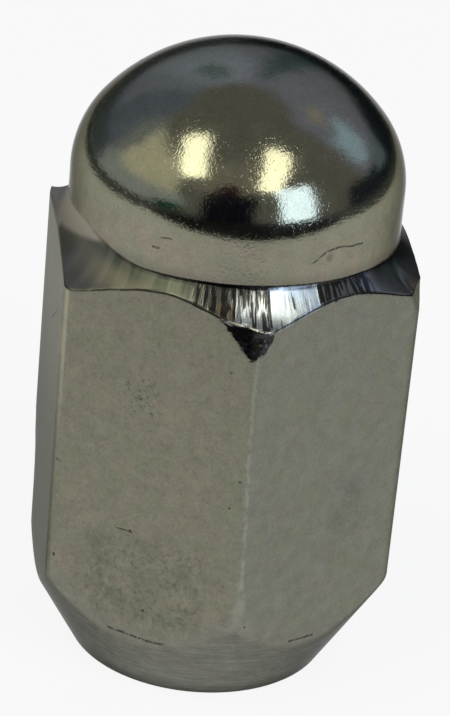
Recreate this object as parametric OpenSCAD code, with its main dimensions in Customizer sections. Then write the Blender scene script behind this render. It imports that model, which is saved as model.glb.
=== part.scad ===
// Closed-end wheel nut, also called an acorn nut or cap nut. It is one forging: a hexagon bar
// with a round collar and a low dome at one end, a cone at the other end that seats in a wheel,
// and a blind thread that runs in from the coned end.
//
// Millimetres. The origin is the centre of the narrow end face, +Z runs up the thread's axis
// to the dome, and two of the flats face +X and -X.

/* [Body] */
// Height from the narrow end face to the top of the dome
height = 35.3; // [29:0.1:46]
// Width across the flats, which stays wider than the collar
across_flats = 19; // [18.2:0.1:24]
// Radius along each upright corner
corner_r = 1.05; // [0.3:0.05:2]

/* [Dome, collar and shoulder] */
// Height of the dome above the collar
dome_rise = 7.2; // [6.2:0.1:9]
// Radius where the collar turns into the dome
dome_edge_r = 5.6; // [2:0.1:5.8]
// Diameter of the collar under the dome
collar_d = 17.9; // [14.5:0.1:18]
// Height of the collar's straight wall
collar_h = 1.4; // [0.4:0.1:4]
// Radius of the hollow shoulder between the collar and the corners
shoulder_r = 3.2; // [2:0.1:5]

/* [Seat] */
// Full angle of the seat's cone
seat_angle = 60; // [50:1:90]
// Width of the flat ring between the thread's mouth and the seat's cone
seat_land = 0.8; // [0.4:0.1:1.6]
// Rounding of the seat's lower edge
seat_edge_r = 0.3; // [0.1:0.05:0.6]

/* [Thread] */
// Outside diameter of the thread
thread_d = 12; // [8:0.5:14.5]
// Pitch of the thread
thread_pitch = 1.5; // [1:0.25:1.75]
// How much wider the countersunk mouth is than the thread
mouth_clearance = 0.8; // [0.2:0.1:1.6]
// Full angle of the countersink
mouth_angle = 90; // [60:1:120]
// Metal left between the drill's point and the top of the dome
cap_wall = 7.2; // [4:0.1:12]
// Full angle of the drill's point
drill_angle = 118; // [90:1:140]

/* [Wear] */
// Height of the two-sided chip at the top of the -Y corner
chip_h = 1.25; // [0.3:0.05:2.5]
// How far the chip's left side turns from the corner, in degrees
chip_left_turn = 17; // [10:1:25]
// How far the chip's left side leans in from upright, in degrees
chip_left_lean = 12; // [4:1:20]
// How far the chip's right side turns from the corner, in degrees
chip_right_turn = 12; // [5:1:25]
// How far the chip's right side leans in from upright, in degrees
chip_right_lean = 8; // [4:1:20]

/* [Hidden] */
$fn = 96;

// Hexagon: each corner's arc runs between its flats from corner_trim outwards. It stands a hair
// proud of tangent, corner_ease, so that it crosses the flats and leaves no sliver beside them.
corner_centre = (across_flats / 2 - corner_r) / cos(30);
corner_reach = corner_centre + corner_r;
corner_trim = corner_centre + corner_r * cos(30);
corner_ease = 0.002;

// Dome: the edge's arc, then a crown arc that meets it without a break
collar_r = collar_d / 2;
dome_foot = height - dome_rise;
crown_r = (collar_r * collar_r + dome_rise * dome_rise - 2 * collar_r * dome_edge_r)
    / (2 * (dome_rise - dome_edge_r));
crown_centre = height - crown_r;
crown_join = atan2(dome_foot - crown_centre, collar_r - dome_edge_r);

// Shoulder: a hollow arc that leaves the collar upright and runs out through the corners
collar_foot = dome_foot - collar_h;
shoulder_centre = collar_r + shoulder_r;
corner_turn = acos(max(0, (shoulder_centre - corner_reach) / shoulder_r));
corner_top = collar_foot - shoulder_r * sin(corner_turn);

// Seat: a land, a rounded edge and a cone that runs out through the corners
mouth_r = (thread_d + mouth_clearance) / 2;
seat_end_r = mouth_r + seat_land;
seat_slope = seat_angle / 2;
edge_setback = seat_edge_r * tan((90 - seat_slope) / 2);
blank_r = corner_reach + 1;
blank_z = (blank_r - seat_end_r) / tan(seat_slope);

// Bore: an ISO thread leaves the wall 0.5413 of a pitch inside the outside diameter
bore_r = thread_d / 2 - 0.5413 * thread_pitch;
mouth_depth = (mouth_r - bore_r) / tan(mouth_angle / 2);
point_h = bore_r / tan(drill_angle / 2);
bore_end = height - cap_wall - point_h;
over = 0.5;

// Points along an arc from angle a to angle b, about 5 degrees apart
function arc(cx, cz, r, a, b) =
    let (steps = max(1, ceil(abs(b - a) / 5)))
    [for (i = [0:steps]) let (t = a + (b - a) * i / steps) [cx + r * cos(t), cz + r * sin(t)]];

// A hexagon that is a given distance from its centre to each flat
module hexagon(inradius) {
    circle(r = inradius / cos(30), $fn = 6);
}

// The bar's section: six flats, and corners trimmed square and then rounded
module hexagon_section() {
    intersection() {
        rotate(30) hexagon(across_flats / 2);
        union() {
            hexagon(corner_trim);
            for (k = [0:5])
                rotate(30 + 60 * k) translate([corner_centre, 0])
                    circle(r = corner_r + corner_ease);
        }
    }
}

// Everything that the lathe and the die leave round, from the end face up to the dome
module turned_blank() {
    rotate_extrude()
        polygon(concat(
            [[0, 0]],
            arc(seat_end_r - edge_setback, seat_edge_r, seat_edge_r, -90, -seat_slope),
            [[blank_r, blank_z]],
            [[blank_r, collar_foot - shoulder_r]],
            arc(shoulder_centre, collar_foot, shoulder_r, 270, 180),
            arc(collar_r - dome_edge_r, dome_foot, dome_edge_r, 0, crown_join),
            arc(0, crown_centre, crown_r, crown_join, 90)
        ));
}

// The tapping drill's hole, at the thread's inner diameter, with its countersunk mouth
module blind_bore() {
    rotate_extrude()
        polygon([
            [0, -over],
            [mouth_r + over * tan(mouth_angle / 2), -over],
            [bore_r, mouth_depth],
            [bore_r, bore_end],
            [0, bore_end + point_h]
        ]);
}

// What was knocked off one corner just under the shoulder: two sides that meet in a ridge
module chip() {
    reach = 2 * chip_h + 2;
    for (side = [[-chip_left_turn, chip_left_lean], [chip_right_turn, chip_right_lean]])
        translate([0, -corner_reach, corner_top - chip_h])
            rotate([-side[1], 0, side[0]])
                translate([-reach, -2 * reach, -reach]) cube([2 * reach, 2 * reach, 3 * reach]);
}

module nut() {
    color("silver")
        difference() {
            intersection() {
                linear_extrude(height) hexagon_section();
                turned_blank();
            }
            blind_bore();
            chip();
        }
}

nut();
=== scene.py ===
import math

import bmesh
import bpy
from mathutils import Matrix, Vector


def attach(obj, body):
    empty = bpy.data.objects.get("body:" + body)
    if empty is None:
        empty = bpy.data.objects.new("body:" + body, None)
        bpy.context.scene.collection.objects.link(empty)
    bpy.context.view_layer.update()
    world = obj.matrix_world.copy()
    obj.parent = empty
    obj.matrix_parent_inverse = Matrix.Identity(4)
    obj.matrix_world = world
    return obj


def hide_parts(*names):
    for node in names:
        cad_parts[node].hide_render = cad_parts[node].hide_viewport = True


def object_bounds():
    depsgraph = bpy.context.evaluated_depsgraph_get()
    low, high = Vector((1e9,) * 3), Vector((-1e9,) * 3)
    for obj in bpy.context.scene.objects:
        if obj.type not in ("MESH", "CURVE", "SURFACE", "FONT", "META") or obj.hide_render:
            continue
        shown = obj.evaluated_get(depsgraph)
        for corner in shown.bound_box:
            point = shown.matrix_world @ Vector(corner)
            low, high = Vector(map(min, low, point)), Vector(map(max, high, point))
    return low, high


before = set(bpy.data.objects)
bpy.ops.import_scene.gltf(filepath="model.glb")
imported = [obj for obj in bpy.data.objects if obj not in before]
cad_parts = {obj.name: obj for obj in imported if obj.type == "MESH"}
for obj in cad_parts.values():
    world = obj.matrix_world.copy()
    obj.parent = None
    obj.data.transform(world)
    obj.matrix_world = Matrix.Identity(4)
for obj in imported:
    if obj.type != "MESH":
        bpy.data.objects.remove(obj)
cad_low, cad_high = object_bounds()

MM = 0.001

# Sizes of the nut, in metres, as the part's source gives them. Height and width come from
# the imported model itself.
HEIGHT = cad_high.z - cad_low.z
FLATS = cad_high.x - cad_low.x
CORNER_R = 1.05 * MM
DOME_RISE = 7.2 * MM
DOME_EDGE_R = 5.6 * MM
COLLAR_R = 8.95 * MM
COLLAR_H = 1.4 * MM
SHOULDER_R = 3.2 * MM
SEAT_SLOPE = math.radians(30)
SEAT_LAND = 0.8 * MM
SEAT_EDGE_R = 0.3 * MM
THREAD_R = 6.0 * MM
PITCH = 1.5 * MM
MOUTH_R = 6.4 * MM
CAP_WALL = 7.2 * MM
DRILL_HALF_ANGLE = math.radians(59)
CHIP_H = 1.25 * MM

# Sizes that only the visible skin has. The crease lies under the collar's wall, CREASE_DROP
# below the collar's foot. LEVEL_TOP is where the shoulder stops at the far left corner.
# RELIEF_Z is where the full thread ends. Each side of the chip has its turn from the corner
# and its lean, in degrees, and how far it stands out.
LEVEL_TOP = 24.9 * MM
CREASE_DROP = 1.08 * MM
CREASE_STEP = 0.02 * MM
SEAT_BLEND = 0.42 * MM
RIM_BLEND = 0.10 * MM
RIM_WEAR = 0.22 * MM
RELIEF_Z = 21.7 * MM
TOOTH_START = 0.66 * MM
TOOTH_TURNS = 13.6
CHIP_SIDES = ((-17, 12, 0.0), (12, 8, 0.035 * MM))

# How the skin is divided: steps round the nut, how evenly they lie between the corners, the
# height of the close rings below the shoulder, steps along the thread, and the reach of the
# weld between strips.
RING = 420
CLUSTER = 0.26
CLOSE_RINGS = 2.7 * MM
TOOTH_STEPS = 816
WELD = 0.002 * MM

# Sizes that follow from them.
CORNER_CENTRE = (FLATS / 2 - CORNER_R) / math.cos(math.radians(30))
CORNER_REACH = CORNER_CENTRE + CORNER_R
CORNER_TURN = math.atan2(CORNER_R / 2, CORNER_CENTRE + CORNER_R * math.cos(math.radians(30)))
DOME_FOOT = HEIGHT - DOME_RISE
COLLAR_FOOT = DOME_FOOT - COLLAR_H
CROWN_R = (
    (COLLAR_R ** 2 + DOME_RISE ** 2 - 2 * COLLAR_R * DOME_EDGE_R)
    / (2 * (DOME_RISE - DOME_EDGE_R)))
CROWN_CENTRE = HEIGHT - CROWN_R
CROWN_JOIN = math.atan2(DOME_FOOT - CROWN_CENTRE, COLLAR_R - DOME_EDGE_R)
SHOULDER_CENTRE = COLLAR_R + SHOULDER_R
CORNER_RIM_TURN = math.acos((SHOULDER_CENTRE - CORNER_REACH) / SHOULDER_R)
CORNER_TOP = COLLAR_FOOT - SHOULDER_R * math.sin(CORNER_RIM_TURN)
SEAT_END_R = MOUTH_R + SEAT_LAND
EDGE_SETBACK = SEAT_EDGE_R * math.tan((math.pi / 2 - SEAT_SLOPE) / 2)
EDGE_CENTRE_R = SEAT_END_R - EDGE_SETBACK
SEAT_START_R = EDGE_CENTRE_R + SEAT_EDGE_R * math.cos(SEAT_SLOPE)
SEAT_START_Z = SEAT_EDGE_R - SEAT_EDGE_R * math.sin(SEAT_SLOPE)
BORE_R = THREAD_R - 0.5413 * PITCH
ROOT_R = THREAD_R + 0.02 * MM
POINT_H = BORE_R / math.tan(DRILL_HALF_ANGLE)
BORE_END = HEIGHT - CAP_WALL - POINT_H


class Wire:
    """One output in a node tree, so that shapes and finishes read as plain sums."""

    def __init__(self, net, socket):
        self.net = net
        self.socket = socket
        self.wide = socket.type in ("VECTOR", "RGBA")

    def sum_with(self, operation, first, second):
        wide = self.net.is_wide
        if not (wide(first) or wide(second)):
            return self.net.math(operation, first, second)
        if operation == "DIVIDE" and not wide(second):
            operation, second = "MULTIPLY", 1.0 / second
        if operation == "MULTIPLY" and not (wide(first) and wide(second)):
            bundle, factor = (first, second) if wide(first) else (second, first)
            return self.net.make(
                "ShaderNodeVectorMath", {"operation": "SCALE"}, {0: bundle, "Scale": factor})
        first, second = [
            v if wide(v) or isinstance(v, Wire) else (v, v, v) for v in (first, second)]
        return self.net.make("ShaderNodeVectorMath", {"operation": operation}, {0: first, 1: second})

    def __add__(self, other):
        return self.sum_with("ADD", self, other)

    def __sub__(self, other):
        return self.sum_with("SUBTRACT", self, other)

    def __rsub__(self, other):
        return self.sum_with("SUBTRACT", other, self)

    def __mul__(self, other):
        return self.sum_with("MULTIPLY", self, other)

    def __rmul__(self, other):
        return self.sum_with("MULTIPLY", other, self)

    def __truediv__(self, other):
        return self.sum_with("DIVIDE", self, other)

    def __pow__(self, other):
        return self.net.math("POWER", self, other)


class Net:
    """A node tree that is written as expressions."""

    def __init__(self, tree):
        self.tree = tree

    def is_wide(self, value):
        return isinstance(value, (tuple, Vector)) or (isinstance(value, Wire) and value.wide)

    def feed(self, value, socket):
        """Links a wire to a socket, or sets a plain value on it."""
        if isinstance(value, Wire):
            self.tree.links.new(value.socket, socket)
        else:
            socket.default_value = value

    def make(self, kind, settings=None, inputs=None, out=0):
        node = self.tree.nodes.new(kind)
        for name, value in (settings or {}).items():
            setattr(node, name, value)
        for name, value in (inputs or {}).items():
            self.feed(value, node.inputs[name])
        return Wire(self, node.outputs[out])

    def math(self, operation, *values):
        return self.make("ShaderNodeMath", {"operation": operation}, dict(enumerate(values)))

    def vector(self, x=0.0, y=0.0, z=0.0):
        return self.make("ShaderNodeCombineXYZ", None, {0: x, 1: y, 2: z})

    def parts(self, bundle):
        first = self.make("ShaderNodeSeparateXYZ", None, {0: bundle})
        return [Wire(self, socket) for socket in first.socket.node.outputs]

    def dot(self, a, b):
        return self.make(
            "ShaderNodeVectorMath", {"operation": "DOT_PRODUCT"}, {0: a, 1: b}, out="Value")

    def length(self, a):
        return self.make("ShaderNodeVectorMath", {"operation": "LENGTH"}, {0: a}, out="Value")

    def sin(self, a):
        return self.math("SINE", a)

    def cos(self, a):
        return self.math("COSINE", a)

    def root(self, a):
        return self.math("SQRT", a)

    def size(self, a):
        return self.math("ABSOLUTE", a)

    def least(self, a, b):
        return self.math("MINIMUM", a, b)

    def most(self, a, b):
        return self.math("MAXIMUM", a, b)

    def same(self, a, b):
        return self.math("COMPARE", a, b, 0.1)

    def below(self, a, b):
        return self.math("LESS_THAN", a, b)

    def clip(self, a):
        return self.least(self.most(a, 0.0), 1.0)

    def bearing(self, x, y):
        """Degrees round from the front, to the right."""
        return self.math("ARCTAN2", x, 0.0 - y) * math.degrees(1)

    def rise(self, value, low, high, start=0.0, end=1.0):
        """Smoothly from start to end as the value goes from low to high."""
        return self.make(
            "ShaderNodeMapRange", {"interpolation_type": "SMOOTHSTEP"},
            {0: value, 1: low, 2: high, 3: start, 4: end})

    def fall(self, value, low, high):
        """Smoothly from one to nought as the value goes from low to high."""
        return self.rise(value, low, high, 1.0, 0.0)

    def band(self, value, low, high, soft):
        """One between low and high, fading to nought over soft on both sides."""
        return self.rise(value, low - soft, low) * self.fall(value, high, high + soft)

    def creased(self, bearing):
        """One where the collar's wall runs down to a crease, and nought at the front left,
        where the shoulder flows into it."""
        return self.rise(bearing, -75.0, -38.0) + self.fall(bearing, -150.0, -120.0)

    def blend(self, factor, a, b):
        """Mix of two colours."""
        def full(colour):
            return colour if isinstance(colour, Wire) else (*colour, 1.0)
        return self.make(
            "ShaderNodeMix", {"data_type": "RGBA"}, {0: factor, 6: full(a), 7: full(b)}, out=2)

    def coats(self, colour, *layers):
        """Layers laid over a colour one after another, each a mask and its own colour."""
        for mask, tint in layers:
            colour = self.blend(mask, colour, tint)
        return colour

    def noise(self, place, scale, detail=2.0, roughness=0.5):
        return self.make(
            "ShaderNodeTexNoise", None,
            {"Vector": place, "Scale": scale, "Detail": detail, "Roughness": roughness})


# Shape. The whole skin of the nut is one set of rings round the axis, each strip of rings
# following one stretch of the turned profile, and stopped by the hexagon where it meets it.
class ShapeNet(Net):
    """Geometry made from strips of rings."""

    def start(self, sizes):
        """Gives the tree its output and its named inputs, and gives back the inputs in order."""
        interface = self.tree.interface
        interface.new_socket(name="Geometry", in_out="OUTPUT", socket_type="NodeSocketGeometry")
        for name in sizes:
            interface.new_socket(name=name, in_out="INPUT", socket_type="NodeSocketFloat")
        group = self.tree.nodes.new("NodeGroupInput")
        return [Wire(self, group.outputs[name]) for name in sizes]

    def place(self):
        return self.make("GeometryNodeInputPosition")

    def grid(self, long_steps, short_steps):
        return self.make(
            "GeometryNodeMeshGrid", None, {0: 1.0, 1: 1.0, 2: long_steps + 1, 3: short_steps + 1})

    def put(self, geometry, place):
        return self.make("GeometryNodeSetPosition", None, {"Geometry": geometry, "Position": place})

    def put_round(self, geometry, radius, angle, height):
        """Puts each point at a radius from the axis, an angle round it and a height."""
        return self.put(
            geometry, self.vector(radius * self.cos(angle), radius * self.sin(angle), height))

    def mark(self, geometry, name, value):
        """Stores a number on every point under a name that the finish reads."""
        return self.make(
            "GeometryNodeStoreNamedAttribute", {"data_type": "FLOAT", "domain": "POINT"},
            {"Geometry": geometry, "Name": name, "Value": value})

    def named(self, name):
        return self.make("GeometryNodeInputNamedAttribute", {"data_type": "FLOAT"}, {"Name": name})

    def joined(self, pieces):
        node = self.tree.nodes.new("GeometryNodeJoinGeometry")
        for piece in reversed(pieces):
            self.tree.links.new(piece.socket, node.inputs[0])
        return Wire(self, node.outputs[0])

    def welded(self, geometry, reach):
        return self.make("GeometryNodeMergeByDistance", None, {"Geometry": geometry, "Distance": reach})

    def end(self, geometry, material):
        real = self.make("GeometryNodeRealizeInstances", None, {"Geometry": geometry})
        done = self.make("GeometryNodeSetMaterial", None, {"Geometry": real, "Material": material})
        out = self.tree.nodes.new("NodeGroupOutput")
        self.feed(done, out.inputs[0])


def made(name, tree, values):
    """Runs a tree on an empty mesh and gives back the plain mesh it makes."""
    shell = bpy.data.objects.new(name, bpy.data.meshes.new(name))
    bpy.context.scene.collection.objects.link(shell)
    modifier = shell.modifiers.new("shape", "NODES")
    modifier.node_group = tree
    for item in tree.interface.items_tree:
        if item.item_type == "SOCKET" and item.in_out == "INPUT":
            modifier[item.identifier] = values[item.name]
    bpy.context.view_layer.update()
    evaluated = shell.evaluated_get(bpy.context.evaluated_depsgraph_get())
    mesh = bpy.data.meshes.new_from_object(evaluated)
    shell.modifiers.remove(modifier)
    shell.data = mesh
    return shell


def thread_tooth(net, along, round_it):
    """One tooth wound up the bore, closed on itself and faded out at both ends."""
    corner = round_it * 4.0
    corner = corner - net.math("GREATER_THAN", corner, 3.5) * 4.0
    crest = net.below(net.size(corner - 1.5), 1.0)
    full = net.rise(along, 0.0, 0.02) * net.fall(along, 0.97, 1.0)
    angle = along * (TOOTH_TURNS * math.tau)
    aside = (corner - 1.5) * (0.4375 - crest * 0.0625) * PITCH * full
    height = along * (TOOTH_TURNS * PITCH) + aside + TOOTH_START
    radius = net.most(crest * full * (BORE_R - ROOT_R) + ROOT_R + 0.01 * MM, MOUTH_R - height)
    return net.put_round(net.mark(net.grid(TOOTH_STEPS, 4), "inside", 1.0), radius, angle, height)


def leaning(turn, lean):
    """The direction out of a side of the chip."""
    level = math.cos(math.radians(lean))
    return (
        math.sin(math.radians(turn)) * level,
        -math.cos(math.radians(turn)) * level,
        math.sin(math.radians(lean)))


def chipped(net, skin):
    """What was knocked off the front corner: every point outside one of two leaning sides is
    brought back to it."""
    foot = (0.0, -CORNER_REACH, CORNER_TOP - CHIP_H)
    place = net.place()
    torn = (net.noise(place / MM, 2.0, 3.0, 0.7) - 0.5) * 0.20 * MM
    taken = 0.0
    for _ in range(3):
        for turn, lean, stand in CHIP_SIDES:
            outward = leaning(turn, lean)
            proud = net.most(net.dot(place - foot, outward) + torn - stand, 0.0)
            place = place - net.vector(*outward) * proud
            taken = proud + taken
    return net.put(net.mark(skin, "chip", taken / MM), place)


def rubbed(net, skin, corner, turn, depth):
    """One corner rubbed back by a depth, from the side that it is turned to."""
    outward = (math.cos(math.radians(turn)), math.sin(math.radians(turn)), 0.0)
    reach = CORNER_CENTRE * math.cos(math.radians(turn - corner)) + CORNER_R
    soft = 0.06 * MM
    place = net.place()
    proud = net.dot(place, outward) - reach + depth
    proud = (proud + net.root(proud * proud + soft * soft)) * 0.5
    proud = proud * net.rise(depth, 0.0, 0.05 * MM)
    return net.put(skin, place - net.vector(*outward) * proud)


def worn_skin(net, skin, wear):
    """Two corners are rubbed back, and the shoulder's edge is uneven."""
    _, _, z = net.parts(net.place())
    z = z / MM
    far_left = (net.rise(z, 1.5, 5.0) * 0.16 + net.band(z, 4.8, 8.0, 4.0) * 0.32) * MM
    skin = rubbed(net, skin, 150, 165, far_left)
    skin = rubbed(net, skin, -30, -30, net.rise(z, 22.6, 24.2) * 0.30 * MM)
    place = net.place()
    x, y, z = net.parts(place)
    uneven = net.noise(place / MM, 0.9, 3.0, 0.6) - 0.5
    near = net.rise(y, -3.0 * MM, 0.0, 1.0, 0.35)
    return net.put(skin, net.vector(x, y, z + net.named("rim") * uneven * near * wear))


def nut_tree(material):
    tree = bpy.data.node_groups.new("nut shape", "GeometryNodeTree")
    net = ShapeNet(tree)
    half_flats, corner_r, collar_r, shoulder_r, wear = net.start(
        ["Half flats", "Corner radius", "Collar radius", "Shoulder radius", "Wear"])
    corner_centre = (half_flats - corner_r) / math.cos(math.radians(30))
    shoulder_centre = collar_r + shoulder_r

    # Each strip starts as a flat grid: its long side becomes the angle round the nut, closer
    # together at the corners, and its short side the way along the profile.
    across, along, _ = net.parts(net.place())
    across = across + 0.5
    t = along + 0.5
    sixth = across * 6.0
    number = net.least(net.math("FLOOR", sixth), 5.0)
    s = (sixth - number) * 2.0 - 1.0
    turn = (s * CLUSTER + s * s * s * (1.0 - CLUSTER)) * math.radians(30)
    angle = number * math.radians(60) + turn - math.radians(90)
    flat_reach = half_flats / net.cos(math.radians(30) - net.size(turn))
    offset = corner_centre * net.sin(turn)
    round_reach = corner_centre * net.cos(turn) + net.root(corner_r * corner_r - offset * offset)
    reach = flat_reach + net.below(net.size(turn), CORNER_TURN) * (round_reach - flat_reach)

    # Where the flats meet the seat below them and the shoulder above them.
    slope_r = math.sin(SEAT_SLOPE)
    slope_z = math.cos(SEAT_SLOPE)
    seat_top = (reach - SEAT_START_R) * (slope_z / slope_r) + SEAT_START_Z
    rim_turn = net.math("ARCCOSINE", (shoulder_centre - reach) / shoulder_r)
    rim_z = COLLAR_FOOT - net.sin(rim_turn) * shoulder_r

    # At the far left corner, and less at the near right one, the shoulder stops higher on the
    # side flat's side.
    sideways = net.size(net.cos(angle))
    level = net.rise(sideways, math.cos(math.radians(33.0)), math.cos(math.radians(28.0)))
    level = level * (net.same(number, 4.0) + net.same(number, 1.0) * 0.45)
    lift = level * net.most(LEVEL_TOP - rim_z, 0.0)

    def strip(rows, radius, height, **marks):
        grid = net.grid(RING, rows)
        for name, value in marks.items():
            grid = net.mark(grid, name, value)
        return net.put_round(grid, radius, angle, height)

    def line(rows, r0, z0, r1, z1, **marks):
        return strip(rows, t * (r1 - r0) + r0, t * (z1 - z0) + z0, **marks)

    def arc(rows, centre_r, centre_z, radius, start, end, **marks):
        a = t * (end - start) + start
        return strip(rows, net.cos(a) * radius + centre_r, net.sin(a) * radius + centre_z, **marks)

    def bend(first, middle, last):
        u = 1.0 - t
        return u * u * first + 2.0 * u * t * middle + t * t * last

    cone_end = seat_top - SEAT_BLEND * slope_z
    cone_z = t * (cone_end - SEAT_START_Z) + SEAT_START_Z
    cone_r = (cone_z - SEAT_START_Z) * (slope_r / slope_z) + SEAT_START_R
    bottom = seat_top + SEAT_BLEND
    top = rim_z + lift - RIM_BLEND
    middle = top - CLOSE_RINGS
    arc_end = rim_turn - RIM_BLEND / SHOULDER_R
    last_r = shoulder_centre - net.cos(arc_end) * shoulder_r
    last_z = COLLAR_FOOT - net.sin(arc_end) * shoulder_r + lift

    # The hollow of the shoulder, undercut where it meets the collar's wall in a crease.
    crease = net.creased(net.bearing(net.cos(angle), net.sin(angle)))
    crease_z = COLLAR_FOOT - crease * CREASE_DROP
    crease_turn = net.math("ARCSINE", crease * (CREASE_DROP / SHOULDER_R))
    hollow_turn = crease_turn + (arc_end - crease_turn) * (1.0 - t)
    wall_r = collar_r + crease * CREASE_STEP
    undercut = shoulder_centre - net.cos(crease_turn) * shoulder_r - wall_r
    hollow_r = shoulder_centre - net.cos(hollow_turn) * shoulder_r - undercut * t * t
    hollow_z = COLLAR_FOOT - net.sin(hollow_turn) * shoulder_r + lift * (1.0 - t) ** 1.5

    relief_top = RELIEF_Z + ROOT_R - BORE_R
    skin = net.joined([
        # The blind hole, from its drill point down to the countersunk mouth.
        line(2, 0.0, HEIGHT - CAP_WALL, BORE_R, BORE_END, inside=1.0),
        line(1, BORE_R, BORE_END, BORE_R, relief_top, inside=1.0),
        line(1, BORE_R, relief_top, ROOT_R, RELIEF_Z, inside=1.0),
        line(2, ROOT_R, RELIEF_Z, ROOT_R, MOUTH_R - ROOT_R, inside=1.0),
        line(2, ROOT_R, MOUTH_R - ROOT_R, MOUTH_R, 0.0, inside=1.0, seat=0.5),
        # The end face, its edge, the seat and the bend into the flats.
        line(2, MOUTH_R, 0.0, EDGE_CENTRE_R, 0.0, seat=1.0),
        arc(5, EDGE_CENTRE_R, SEAT_EDGE_R, SEAT_EDGE_R, math.radians(-90), -SEAT_SLOPE, seat=1.0),
        strip(10, cone_r, cone_z, seat=1.0),
        strip(
            8, bend(reach - SEAT_BLEND * slope_r, reach, reach), bend(cone_end, seat_top, bottom),
            seat=0.5, flat=0.5),
        # The flats and corners, and the rim of the shoulder.
        strip(14, reach, t * (middle - bottom) + bottom, flat=1.0),
        strip(44, reach, t * (top - middle) + middle, flat=1.0),
        strip(
            4, bend(reach, reach, last_r), bend(top, rim_z + lift, last_z),
            flat=0.5, hollow=0.5, rim=1.0, brim=t * (1.0 - t) * 4.0),
        # The shoulder, the collar's wall and the dome.
        strip(18, hollow_r, hollow_z, hollow=1.0, curl=level * (1.0 - level) * 4.0 * (1.0 - t)),
        line(6, wall_r, crease_z, COLLAR_R, COLLAR_FOOT),
        line(3, COLLAR_R, COLLAR_FOOT, COLLAR_R, DOME_FOOT),
        arc(22, COLLAR_R - DOME_EDGE_R, DOME_FOOT, DOME_EDGE_R, 0.0, CROWN_JOIN),
        arc(14, 0.0, CROWN_CENTRE, CROWN_R, CROWN_JOIN, math.pi / 2),
        thread_tooth(net, across, t),
    ])
    skin = worn_skin(net, chipped(net, net.welded(skin, WELD)), wear)
    net.end(skin, material)
    return tree


def plain_material(name):
    material = bpy.data.materials.new(name)
    material.use_nodes = True
    return material


steel = plain_material("plated steel")
nut = made("nut_body", nut_tree(steel), {
    "Half flats": FLATS / 2, "Corner radius": CORNER_R, "Collar radius": COLLAR_R,
    "Shoulder radius": SHOULDER_R, "Wear": RIM_WEAR})

work = bmesh.new()
work.from_mesh(nut.data)
bmesh.ops.recalc_face_normals(work, faces=work.faces)
for face in work.faces:
    face.smooth = True
work.to_mesh(nut.data)
work.free()

scene = bpy.context.scene
scene.view_settings.view_transform = "Standard"

# Finish: bright plating over turned and rolled steel, hazed on the flats, worn at the corners.
# Places are in millimetres, and bearings in degrees round from the front corner.
net = Net(steel.node_tree)
shader = steel.node_tree.nodes["Principled BSDF"]
shader.inputs["Metallic"].default_value = 1.0
shader.inputs["Specular Tint"].default_value = (0.35, 0.35, 0.35, 1.0)


def painted(name):
    return net.make("ShaderNodeAttribute", {"attribute_name": name}, None, out="Fac")


here = net.make("ShaderNodeTexCoord", None, None, out="Object") * (1 / MM)
x, y, z = net.parts(here)
round_r = net.root(x * x + y * y)
bearing = net.bearing(x, y)
past_corner = bearing - net.math("ROUND", bearing / 60.0) * 60.0
beside_corner = round_r * net.sin(past_corner * math.radians(1))

# Regions that the shape marks.
flat = painted("flat")
hollow = painted("hollow")
seat = painted("seat")
inside = painted("inside")
brim = painted("brim")
chip_depth = painted("chip")
chip = net.rise(chip_depth, 0.004, 0.02)
curl = painted("curl") * net.rise(x, -1.0, 1.0)
wall = net.creased(bearing)
above = z - (COLLAR_FOOT - wall * CREASE_DROP) / MM
crease = net.band(above, -0.05, 0.03, 0.13) * wall * net.fall(round_r, 9.5, 9.7)

# Grain of the plating, and its larger changes of tone.
grain = net.noise(here, 7.0, 2.0, 0.6)
mottle = net.noise(here, 1.3, 3.0, 0.65)
patch = net.noise(here, 0.8, 3.0, 0.65)
tinge = net.noise(here + (7.0, 3.0, 1.0), 0.7, 4.0, 0.7)
specks = net.noise(here, 3.2, 4.0, 0.78)
flecks = net.rise(net.noise(here, 7.0, 1.0, 0.8), 0.60, 0.75)
torn = net.noise(here, 1.8, 3.0, 0.7)

# Chatter left by the tool on the front of the shoulder: narrow ridges that run up to the
# collar.
ring = net.vector(x / round_r, y / round_r, z * 0.02)
ridge = net.noise(ring, 34.0, 2.0, 0.65)
broad = net.noise(ring, 12.0, 2.0, 0.5)
chatter = net.band(bearing + broad * 12.0, -14.0, 46.0, 5.0) * hollow
# The facet and a patch low down to its left carry a bright, blue painted reflection of the window, and
# their ridges are fainter.
sheen_facet = net.band(bearing, 4.2, 19.4, 1.2) * hollow
lower_sheen = net.band(bearing, -5.0, 4.0, 2.5) * net.fall(z, 24.7, 25.3) * hollow * 0.6
threshold = sheen_facet * 0.20 + lower_sheen * 0.10 + 0.45
between = net.rise(ridge, threshold, threshold + 0.05)

# Turned rings on the seat.
rings = net.noise(net.vector(x * 0.04, y * 0.04, z), 9.0, 2.0, 0.7)

# Fine scratches, in two directions, on the dome and collar.
scratches = 0.0
for turn, scale in ((25, 8.0), (110, 9.0)):
    c, s = math.cos(math.radians(turn)), math.sin(math.radians(turn))
    run = net.vector((x * c + y * s) * 0.10, y * c - x * s, z * 0.6)
    scratches = net.noise(run, scale, 2.0, 0.6) + scratches
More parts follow.
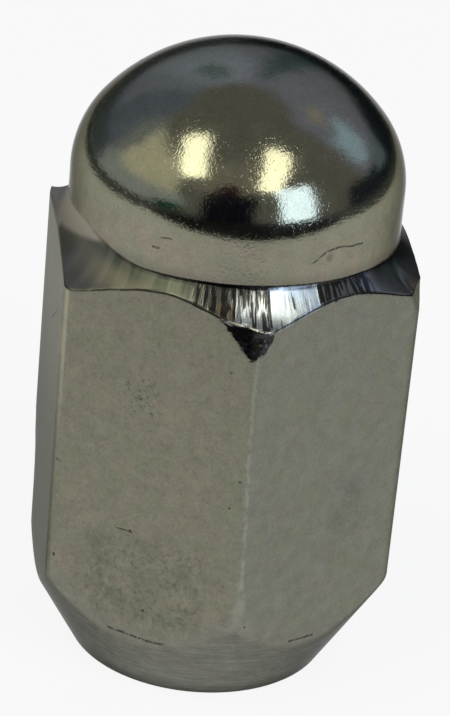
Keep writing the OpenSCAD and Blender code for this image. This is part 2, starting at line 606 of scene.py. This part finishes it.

# The flats. The front left one is painted warmer, as a painted reflection, with a bruise near
# its foot and a scuff above it; the front right one has a stain. The left side flat carries a
# painted reflection: darker low down and lighter high up.
# The front left flat carries a warmer painted reflection.
front_left = net.fall(x, -0.3, 0.3) * net.rise(y, -1.0, 0.0, 1.0, 0.4)
# Painted reflection on the left side flat: darker low down, lighter high up.
side_left = net.fall(x, -9.35, -9.25)
side_painted_light = net.rise(z, 3.0, 14.0, -0.30, -0.06) + net.rise(z, 12.0, 23.0, 0.0, 0.85)
bruise = net.band(x, -7.0, -2.3, 1.3) * net.band(z, 5.8, 9.6, 1.3) * net.fall(y, -6.0, -5.0)
stain = net.band(x, 5.7, 6.7, 0.7) * net.band(z, 10.6, 13.4, 1.2) * net.fall(y, -5.0, -4.0)
scuff = net.fall(net.length((here - (-5.4, -7.86, 18.6)) * (1.0, 1.0, 0.8)), 0.3, 1.7)
shade = net.coats(
    net.blend(front_left, (0.197, 0.197, 0.164), (0.208, 0.197, 0.151)),
    (net.rise(patch, 0.35, 0.65) * 0.30, (0.182, 0.180, 0.148)),
    (net.rise(tinge, 0.48, 0.62) * 0.65, (0.186, 0.200, 0.140)),
    (net.rise(tinge, 0.46, 0.34) * front_left * 0.65, (0.230, 0.208, 0.156)),
    (net.rise(specks, 0.56, 0.66) * front_left * 0.35, (0.105, 0.105, 0.080)),
    (net.rise(specks, 0.44, 0.36) * front_left * 0.25, (0.280, 0.272, 0.212)),
    (bruise * net.rise(patch, 0.36, 0.60) * 0.45, (0.130, 0.140, 0.106)),
    (bruise * net.rise(specks, 0.48, 0.66) * 0.42, (0.085, 0.095, 0.072)),
    (stain * net.rise(patch, 0.34, 0.62) * 0.45, (0.140, 0.142, 0.122)),
    (scuff * net.rise(specks, 0.55, 0.62) * 0.70, (0.065, 0.062, 0.050)),
) * (side_left * side_painted_light + 1.0)

# The dome and collar; the collar is pinker in patches, with painted shade just above its crease.
collar = net.fall(z, 27.6, 28.4)
bright = net.coats(
    net.blend(net.rise(mottle, 0.3, 0.7) * 0.5, (0.245, 0.242, 0.176), (0.225, 0.222, 0.172)),
    (net.rise(patch, 0.35, 0.62) * collar * 0.35, (0.205, 0.185, 0.150)),
    (net.rise(tinge, 0.46, 0.60) * collar * 0.60, (0.262, 0.226, 0.182)),
    (net.rise(tinge, 0.44, 0.36) * collar * 0.50, (0.215, 0.228, 0.180)),
    # Painted shade just above the crease.
    (net.rise(above, 0.1, 0.9, 0.40, 0.0) * wall, (0.115, 0.105, 0.088)),
)

# The seat, with its turned rings and painted shade at its foot.
colour = net.coats(net.blend(flat, bright, shade), (seat * 0.9, (0.206, 0.208, 0.184)))
colour = colour * (net.rise(rings, 0.42, 0.62, -0.10, 0.10) * seat + 1.0)
# Painted shade, darker towards the foot of the seat.
colour = net.coats(colour, (net.fall(z, 0.0, 1.3) * seat * 0.7, (0.070, 0.070, 0.062)))
colour = colour * ((mottle - 0.5) * 0.5 + (grain - 0.5) * 0.45 + 1.0)

# The front of the shoulder is cut by the tool, and carries a bluer painted reflection of the window;
# the far left of it is painted pale, a painted reflection. Painted shade darkens its left side,
# its right corner, its curled corners, the crease above it and the grooves between the ridges.
# Painted reflection: the far left of the shoulder is painted pale, like the collar.
pale = net.rise(z - 26.25 - net.least(bearing + 59.0, 0.0) * 0.032, -0.35, 0.05)
pale = pale * net.fall(bearing, -62.0, -56.0) * net.rise(bearing, -150.0, -140.0) * hollow
# Painted shade: the left of the shoulder is darker, most of all just under the collar.
left = net.band(bearing, -84.0, -24.0, 7.0) * hollow * (1.0 - pale)
far = net.band(bearing, -138.0, -90.0, 5.0) * hollow
pale_or_far = net.most(pale, far)
right = net.band(bearing, 47.0, 75.0, 6.0) * hollow
painted_sheen = net.most(sheen_facet, lower_sheen)
# The cut chatter's colour: darker on its left, and blue on its right as a painted reflection of the
# window.
cut_with_reflection = net.blend(net.rise(bearing, -14.0, -6.0), (0.140, 0.146, 0.132), (0.222, 0.242, 0.262))
ember = net.band(bearing, -12.5, -8.5, 2.0) * net.band(z, 24.4, 24.8, 0.25) * hollow
slit = net.band(bearing, 3.2, 3.6, 0.3) * net.band(z, 24.1, 25.5, 0.15) * hollow
colour = net.coats(
    colour,
    # Painted shade on the left of the shoulder.
    (left * 0.75, (0.165, 0.155, 0.118)),
    (left * net.rise(above, -1.0, -0.2) * 0.9, (0.062, 0.076, 0.056)),
    (left * net.rise(bearing, -60.0, -48.0, 0.6, 0.0), (0.150, 0.142, 0.118)),
    (left * net.rise(broad, 0.48, 0.60) * 0.25, (0.260, 0.250, 0.205)),
    # Painted reflection, pale, on the far left of the shoulder.
    (pale_or_far * 0.9, (0.390, 0.355, 0.290)),
    (chatter * 0.8, cut_with_reflection),
    # Painted reflection of the window, bright and blue, on the facet and the patch beside it.
    (painted_sheen * net.rise(ridge, 0.30, 0.65, 1.0, 0.55), (0.56, 0.62, 0.68)),
    (ember * 0.35, (0.34, 0.22, 0.13)),
    # Painted shade on the right corner, between the ridges, in the curls and in the crease; the slit is
    # a dark mark.
    (right * 0.75, (0.055, 0.050, 0.042)),
    (between * chatter * 0.9, (0.026, 0.025, 0.023)),
    (slit * 0.9, (0.015, 0.014, 0.014)),
    (curl * 0.8, (0.060, 0.060, 0.052)),
    (crease * net.rise(broad, 0.35, 0.65, 0.85, 0.40), (0.030, 0.026, 0.024)),
)

# The corners carry a lighter line that breaks, and widens towards the seat. The lip of
# the shoulder is dark.
ragged = net.noise(net.vector(x * 0.6, y * 0.6, z), 1.9, 4.0, 0.7) - 0.5
drift = net.rise(z, 21.0, 5.0, -0.05, 0.36) * net.fall(y, -9.0, -8.0)
edge = net.size(beside_corner - drift + ragged * 0.50)
edge_width = net.rise(z, 5.0, 10.0, 0.95, 0.14)
edge_line = net.fall(edge, edge_width * 0.3, edge_width) * net.rise(z, 5.0, 10.0, 0.75, 1.0)
edge_line = edge_line * flat * net.rise(mottle, 0.36, 0.56, 0.25, 1.0)
edge_line = edge_line * net.rise(net.size(bearing), 20.0, 40.0, 1.0, 0.35)
lip = net.rise(brim, 0.35, 1.0) * net.band(bearing, -62.0, 62.0, 4.0)
lip = lip * net.rise(mottle, 0.35, 0.50, 0.35, 0.85)

# The chip is torn, and painted dark as painted shade, its left side darker than its right, with a
# painted highlight on the brink where it meets the shoulder.
chip_shade = net.coats(
    net.blend(net.rise(x, -0.5, 0.0), (0.008, 0.007, 0.009), (0.052, 0.052, 0.047)),
    (net.rise(torn, 0.44, 0.54) * 0.7, (0.020, 0.019, 0.018)),
    (net.rise(torn, 0.58, 0.64) * 0.6, (0.17, 0.165, 0.14)),
)
# Painted highlight on the chip's brink.
brink = chip * net.fall(chip_depth, 0.06, 0.11) * hollow * net.rise(torn, 0.40, 0.52, 0.35, 1.0)

# Single marks: cracks, nicks and pits, each one line or spot on the skin.
jitter = net.make("ShaderNodeTexNoise", None, {"Vector": here, "Scale": 1.8, "Detail": 1.0}, out="Color")
shaken = here + jitter * 0.16 - (0.08, 0.08, 0.08)


def stroke(points, width):
    """One where the skin lies on a thin line through the points."""
    nearest = None
    for first, last in zip(points, points[1:]):
        start = Vector(first)
        run = Vector(last) - start
        gone = shaken - start
        share = net.make(
            "ShaderNodeMath", {"operation": "MULTIPLY", "use_clamp": True},
            {0: net.dot(gone, run), 1: 1.0 / run.length_squared})
        apart = net.length(gone - net.vector(*run) * share)
        nearest = apart if nearest is None else net.least(nearest, apart)
    return net.fall(nearest, width * 0.4, width)


def spot(place, width):
    return net.fall(net.length(shaken - Vector(place)), width * 0.5, width)


cracks = 0.0
for points, width in (
    (((2.73, -8.52, 26.86), (3.45, -8.26, 27.43), (4.17, -7.92, 27.58), (5.56, -7.01, 27.37)), 0.085),
    (((-6.15, -7.42, 4.46), (-4.18, -8.56, 4.23), (-3.36, -9.03, 4.27)), 0.10),
    (((3.56, -8.91, 4.43), (5.03, -8.06, 4.36)), 0.09),
    (((-9.5, -4.86, 13.80), (-9.2, -5.66, 13.68)), 0.10),
    (((-9.5, -2.84, 22.2), (-9.5, -2.92, 21.3), (-9.5, -0.5, 19.7)), 0.07),
    (((-5.04, -7.4, 27.7), (-4.75, -7.58, 27.76), (-4.51, -7.73, 27.76)), 0.05),
    (((-5.37, -7.16, 27.07), (-5.24, -7.26, 27.07), (-5.12, -7.34, 27.08)), 0.10),
    (((-6.15, -7.42, 10.66), (-5.75, -7.65, 10.63), (-5.36, -7.88, 10.58)), 0.06),
):
    cracks = stroke(points, width) + cracks
pits = 0.0
for place, width, strength in (
    ((3.72, -8.14, 27.05), 0.30, 0.4),
    ((-1.25, -10.25, 21.41), 0.12, 0.6),
    ((-9.17, -5.64, 7.97), 0.14, 1.0),
    ((-5.44, -7.83, 10.66), 0.12, 1.0),
    ((-4.49, -8.37, 6.03), 0.10, 1.0),
    ((4.21, -8.54, 24.79), 0.14, 1.0),
    ((-0.35, -10.77, 15.28), 0.09, 1.0),
    ((-0.71, -10.56, 13.62), 0.09, 1.0),
    ((0.72, -10.55, 6.32), 0.10, 1.0),
):
    pits = spot(place, width) * strength + pits
marks = net.clip(cracks * net.rise(specks, 0.38, 0.50, 0.25, 1.0) + pits)

colour = net.coats(
    colour,
    (edge_line * 0.75, (0.272, 0.274, 0.222)),
    (lip, (0.016, 0.015, 0.014)),
    # Painted shade on the chip, and a painted highlight on its brink.
    (chip, chip_shade),
    (brink * net.rise(x, 0.5, 1.0, 1.0, 0.5), (0.70, 0.68, 0.58)),
    (inside * 0.6, (0.150, 0.145, 0.125)),
    (marks * 0.8, (0.026, 0.024, 0.022)),
)
net.feed(colour, shader.inputs["Base Color"])

rough = flat * 0.20 + hollow * 0.08 + seat * 0.18 + chip * 0.06 + inside * 0.2 + curl * 0.3 + 0.12
rough = rough + left * 0.20 + pale_or_far * 0.30 + painted_sheen * 0.13 + brink * 0.2
rough = rough + (mottle - 0.5) * 0.12
net.feed(rough, shader.inputs["Roughness"])

raised = (mottle - 0.5) * 0.0045 + (grain - 0.5) * 0.0011
raised = raised + (scratches * 0.0045 + flecks * 0.0022) * (1.0 - flat) * (1.0 - hollow)
raised = raised + ridge * 0.034 * chatter * (1.0 - sheen_facet * 0.55) + broad * 0.02 * hollow
raised = raised + rings * seat * 0.010
raised = raised + torn * chip * 0.09
bump = net.make("ShaderNodeBump", None, {"Strength": 1.0, "Distance": MM, "Height": raised})
net.feed(bump, shader.inputs["Normal"])

# Floor: a plain pale sheet. It shows white to the eye and in the metal, and keeps the nut's
# soft shadow. The metal mirrors it as white only a little way in front of the nut and to its
# sides.
paper = plain_material("pale paper")
net = Net(paper.node_tree)
paper.node_tree.nodes.remove(paper.node_tree.nodes["Principled BSDF"])
place = net.make("ShaderNodeTexCoord", None, None, out="Object")
x, y, _ = net.parts(place)
pool = net.fall(net.size(x), 0.172, 0.196) * net.rise(y, -0.090, -0.070)
# Painted shadow: a dark patch on the floor in front of the nut, which only the metal sees; to the eye
# the floor stays pale.
front = net.length(net.vector(x / 0.34, (y + 0.32) / 0.28))
aside = net.size(net.bearing(x, y) + 14.0)
beyond = net.rise(front, 0.8, 1.3) * net.rise(aside, 14.0, 22.0)
path = paper.node_tree.nodes.new("ShaderNodeLightPath")
eye = Wire(net, path.outputs["Is Camera Ray"])
mirrored = Wire(net, path.outputs["Is Glossy Ray"]) + Wire(net, path.outputs["Is Transmission Ray"])
# Near black in the painted shadow in front, grey elsewhere.
tone = net.blend(beyond, (0.025, 0.025, 0.03), (0.22, 0.23, 0.24))
tone = net.blend(net.most(pool, eye), tone, (0.8, 0.8, 0.8))
matt = net.make("ShaderNodeBsdfDiffuse", None, {"Color": tone})
white = net.make("ShaderNodeEmission", None, {"Color": (1.0, 1.0, 1.0, 1.0), "Strength": 1.0})
whiteness = net.most(eye, net.clip(mirrored) * pool) * 0.88
sheet = net.make("ShaderNodeMixShader", None, {0: whiteness, 1: matt, 2: white})
paper.node_tree.links.new(
    sheet.socket, paper.node_tree.nodes["Material Output"].inputs["Surface"])

work = bmesh.new()
bmesh.ops.create_circle(work, cap_ends=True, radius=3.0, segments=96)
floor = bpy.data.objects.new("floor", bpy.data.meshes.new("floor"))
work.to_mesh(floor.data)
work.free()
floor.data.materials.append(paper)
scene.collection.objects.link(floor)

# Studio: soft cards all round, written as parts of the sky, and three lamps.
world = bpy.data.worlds.new("studio")
world.use_nodes = True
scene.world = world
net = Net(world.node_tree)
look = net.make("ShaderNodeTexCoord", None, None, out="Generated")
ahead = net.make("ShaderNodeVectorMath", {"operation": "NORMALIZE"}, {0: look})
x, y, z = net.parts(ahead)
level = net.math("ARCSINE", z) * math.degrees(1)
ripple = (net.noise(ahead, 2.2, 2.0, 0.5) - 0.5) * 16.0


def card(middle, half, low, high, soft_side, soft_up):
    """Part of the sky that reaches half to each side of a middle azimuth, and from a low to a
    high elevation. Azimuth 0 is in front of the nut and 90 to its right."""
    c = math.radians(middle)
    across = x * math.cos(c) + y * math.sin(c)
    onward = x * math.sin(c) - y * math.cos(c)
    turn = net.size(net.math("ARCTAN2", across, onward)) * math.degrees(1) + ripple
    return net.fall(turn, half, half + soft_side) * net.band(level + ripple, low, high, soft_up)


sky = net.coats(
    (0.25, 0.25, 0.24),
    (card(-15, 32, 34, 56, 12, 8), (0.40, 0.38, 0.35)),
    (card(-112, 12, 4, 46, 10, 8), (0.38, 0.42, 0.48)),
    (card(-78, 22, 8, 44, 10, 8), (1.02, 0.99, 0.80)),
    (card(-84, 32, -2, 12, 12, 8), (0.56, 0.62, 0.68)),
    (card(-136, 12, 8, 56, 12, 8), (0.21, 0.255, 0.37)),
    (card(-157, 8, 18, 56, 8, 8), (0.33, 0.37, 0.53)),
    (card(-178, 14, 20, 58, 12, 8), (0.48, 0.55, 0.80)),
    (card(-171, 5, 46, 54, 6, 5), (0.22, 0.30, 0.36)),
    (card(130, 34, 18, 60, 12, 8), (0.37, 0.39, 0.57)),
    (card(157, 3, 14, 52, 6, 8), (0.13, 0.20, 0.27)),
    (card(104, 6, 27, 36, 7, 6), (0.66, 0.92, 1.30)),
    (card(112, 4, 47, 52, 5, 4), (0.56, 0.51, 0.47)),
    (card(180, 52, 4, 12, 10, 6), (0.13, 0.16, 0.20)),
    (card(120, 44, -12, 12, 10, 8), (0.03, 0.04, 0.06)),
    (card(115, 5, 8, 16, 6, 5), (0.26, 0.36, 0.48)),
    (card(-50, 18, -12, 0, 10, 6), (0.16, 0.20, 0.18)),
    (card(-58, 6, -8, 4, 5, 4), (0.02, 0.10, 0.08)),
    (card(-17, 5, 8, 33, 6, 6), (0.06, 0.025, 0.04)),
    (card(-14, 15, -30, 21, 7, 9), (0.012, 0.012, 0.025)),
)
path = world.node_tree.nodes.new("ShaderNodeLightPath")
sky = net.blend(Wire(net, path.outputs["Is Camera Ray"]), sky, (0.95, 0.95, 0.95))
net.feed(sky, world.node_tree.nodes["Background"].inputs["Color"])


def out_towards(azimuth, elevation):
    """A direction out from the nut, in degrees. Azimuth 0 is in front and 90 to its right."""
    a, e = math.radians(azimuth), math.radians(elevation)
    return Vector((math.sin(a) * math.cos(e), -math.cos(a) * math.cos(e), math.sin(e)))


def facing(place, side, up, back):
    """An object's placing, from where it stands and its own three directions."""
    return Matrix.Translation(place) @ Matrix((side, up, back)).transposed().to_4x4()


def lamp(name, place, along, wide, tall, colour, radiance):
    """A soft rectangular lamp that faces the dome, its long side along the given direction;
    radiance is how bright its face looks."""
    light = bpy.data.lights.new(name, "AREA")
    light.shape = "RECTANGLE"
    light.size = wide
    light.size_y = tall
    light.color = colour
    light.energy = radiance * math.pi * wide * tall
    lit = bpy.data.objects.new(name, light)
    back = (Vector(place) - Vector((0.0, 0.0, HEIGHT))).normalized()
    side = Vector(along).cross(back).normalized()
    lit.matrix_world = facing(place, side, back.cross(side), back)
    lit.visible_camera = False
    scene.collection.objects.link(lit)


warm = (1.0, 0.98, 0.80)
lamp("ceiling panel a", (-0.308, -0.213, 0.504), (0.223, 0.823, 0.522), 0.160, 0.35, warm, 4.3)
lamp("ceiling panel b", (0.160, -0.376, 0.475), (0.173, 0.779, 0.602), 0.155, 0.38, warm, 4.5)
window_place = out_towards(32.8, 15.6) * 0.55 + Vector((0.0, 0.0, 0.03))
lamp("window", window_place, (0.0, 0.0, 1.0), 0.225, 0.32, (0.60, 0.75, 1.0), 5.2)

# Camera: close, above the nut and a little to its left, and rolled a little.
azimuth = -10.267
roll = math.radians(5.33)
ahead = -out_towards(azimuth, 26.494)
right = out_towards(azimuth + 90.0, 0.0)
up = right.cross(ahead)
right, up = right * math.cos(roll) + up * math.sin(roll), up * math.cos(roll) - right * math.sin(roll)
centre = Vector((0.0, 0.0, 17.0 * MM))
stand = centre - ahead * (176.418 * MM)
aim = centre + right * 0.231 * MM + up * 0.084 * MM
back = (stand - aim).normalized()
side = up.cross(back).normalized()
lens = bpy.data.cameras.new("camera")
lens.lens = 162.0
lens.sensor_width = 36.0
lens.clip_start = 0.01
lens.clip_end = 10.0
camera = bpy.data.objects.new("camera", lens)
camera.matrix_world = facing(stand, side, back.cross(side), back)
scene.collection.objects.link(camera)
scene.camera = camera

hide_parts("nut")
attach(nut, "root")
